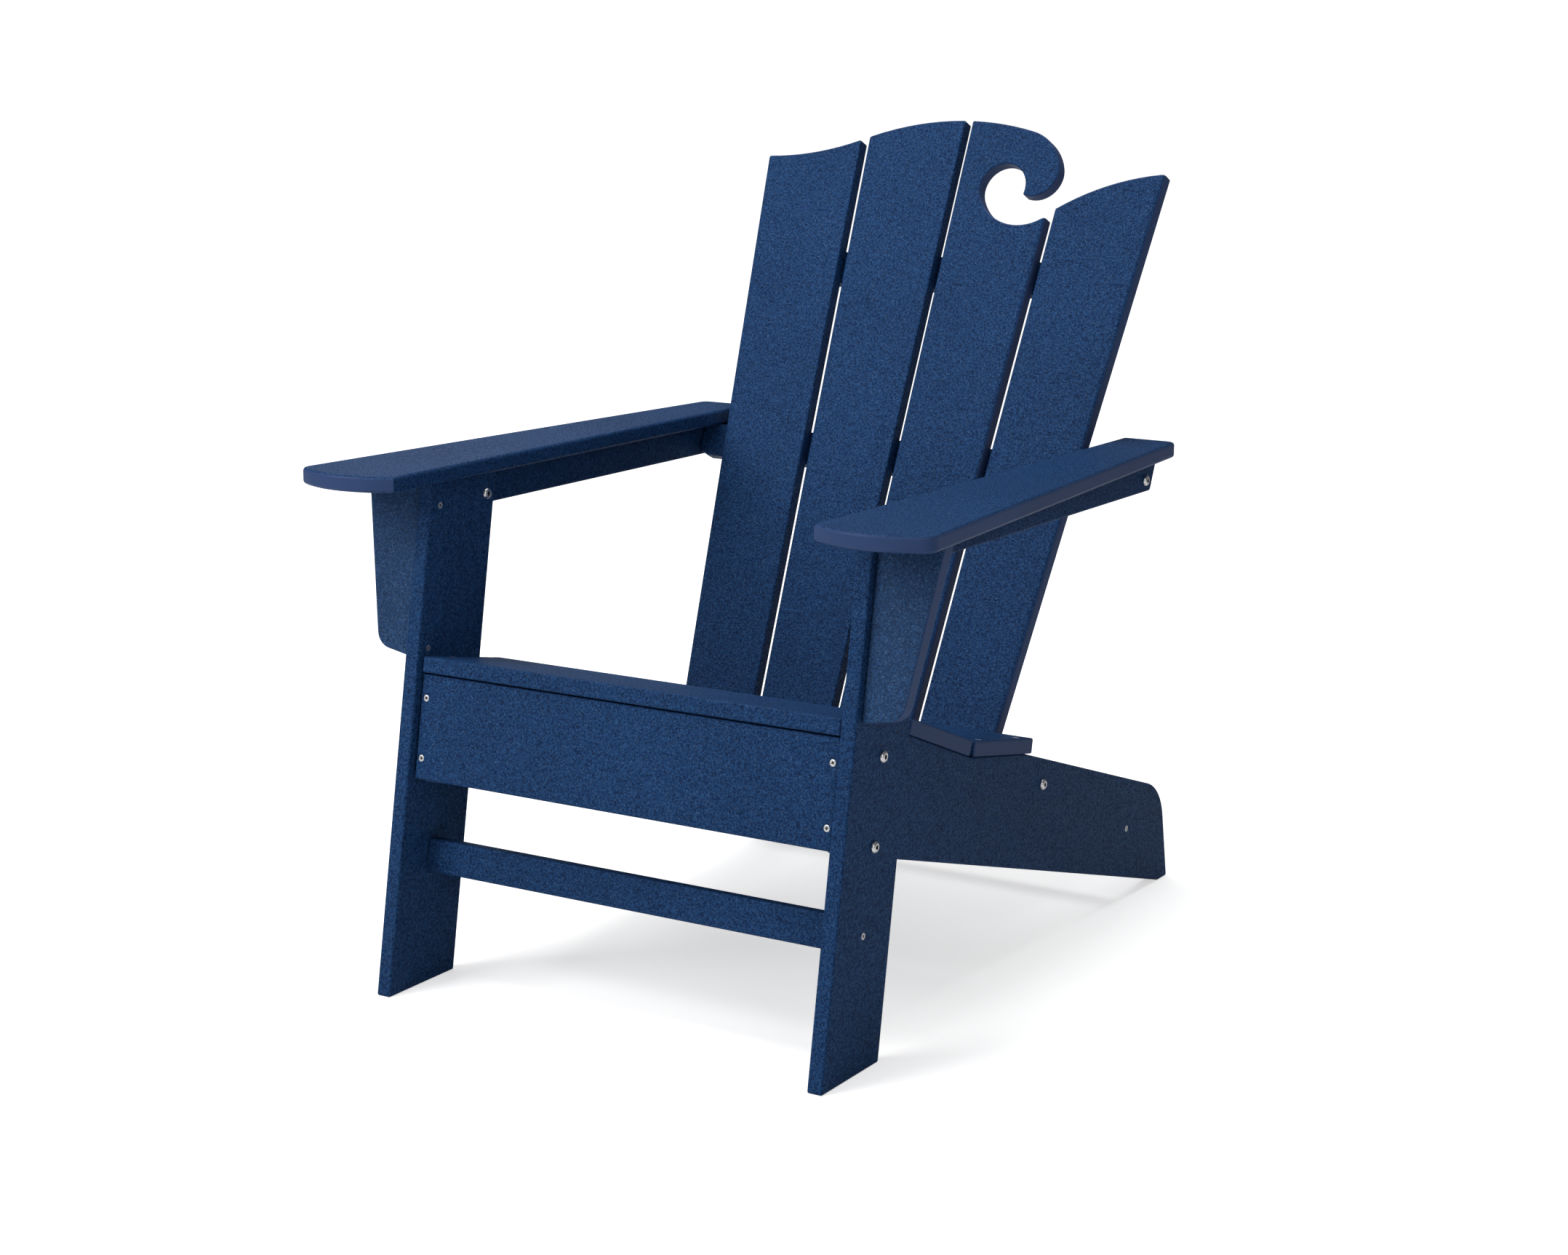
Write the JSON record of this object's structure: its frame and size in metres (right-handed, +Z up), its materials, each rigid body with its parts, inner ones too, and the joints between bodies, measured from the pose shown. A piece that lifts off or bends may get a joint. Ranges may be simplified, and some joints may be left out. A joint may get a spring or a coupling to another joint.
{
  "type": "adirondack chair",
  "caption": "Fixed adirondack chair of plastic lumber with a wave-topped slat back ending in a breaking curl, broad bracketed arms and an apron front.",
  "frame": {"origin": "middle of the chair's footprint box, on the floor", "axes": "+Z up; -Y the way the sitter looks; +X towards the sitter's left hand"},
  "size_m": [0.838, 0.927, 0.9909],
  "materials": {
    "frame_lumber": "fine pebbled grain with light flecks",
    "seat_lumber": "fine pebbled grain, machined ends smooth",
    "back_lumber": "fine pebbled face, machined edges smooth",
    "arm_lumber": "fine pebbled face, machined edges smooth",
    "bolt_steel": "satin stainless",
    "screw_steel": "satin stainless, dark recesses"
  },
  "bodies": {
    "root": {"leg_left": "frame_lumber", "leg_right": "frame_lumber", "side_rail_left": "frame_lumber", "side_rail_right": "frame_lumber", "apron": "frame_lumber", "front_stretcher": "frame_lumber", "rear_stretcher": "frame_lumber", "seat_board_1": "seat_lumber", "seat_board_2": "seat_lumber", "seat_board_3": "seat_lumber", "back_bar_lower": "frame_lumber", "back_brace_middle": "frame_lumber", "back_brace_upper": "frame_lumber", "back_slat_1": "back_lumber", "back_slat_2": "back_lumber", "back_slat_3": "back_lumber", "back_slat_4": "back_lumber", "arm_left": "arm_lumber", "arm_right": "arm_lumber", "arm_bracket_left": "arm_lumber", "arm_bracket_right": "arm_lumber", "arm_rail_left": "frame_lumber", "arm_rail_right": "frame_lumber", "back_cleat_left": "frame_lumber", "back_cleat_right": "frame_lumber", "leg_bolts": "bolt_steel", "leg_washers": "bolt_steel", "leg_nuts": "bolt_steel", "back_bar_bolts": "bolt_steel", "arm_rail_front_bolts": "bolt_steel", "arm_rail_rear_bolts": "bolt_steel", "apron_screws": "screw_steel", "stretcher_screws": "screw_steel", "rear_stretcher_screws": "screw_steel", "bracket_screws": "screw_steel", "seat_screws": "screw_steel", "slat_screws": "screw_steel", "arm_screws": "screw_steel", "cleat_screws": "screw_steel"}
  },
  "joints": []
}
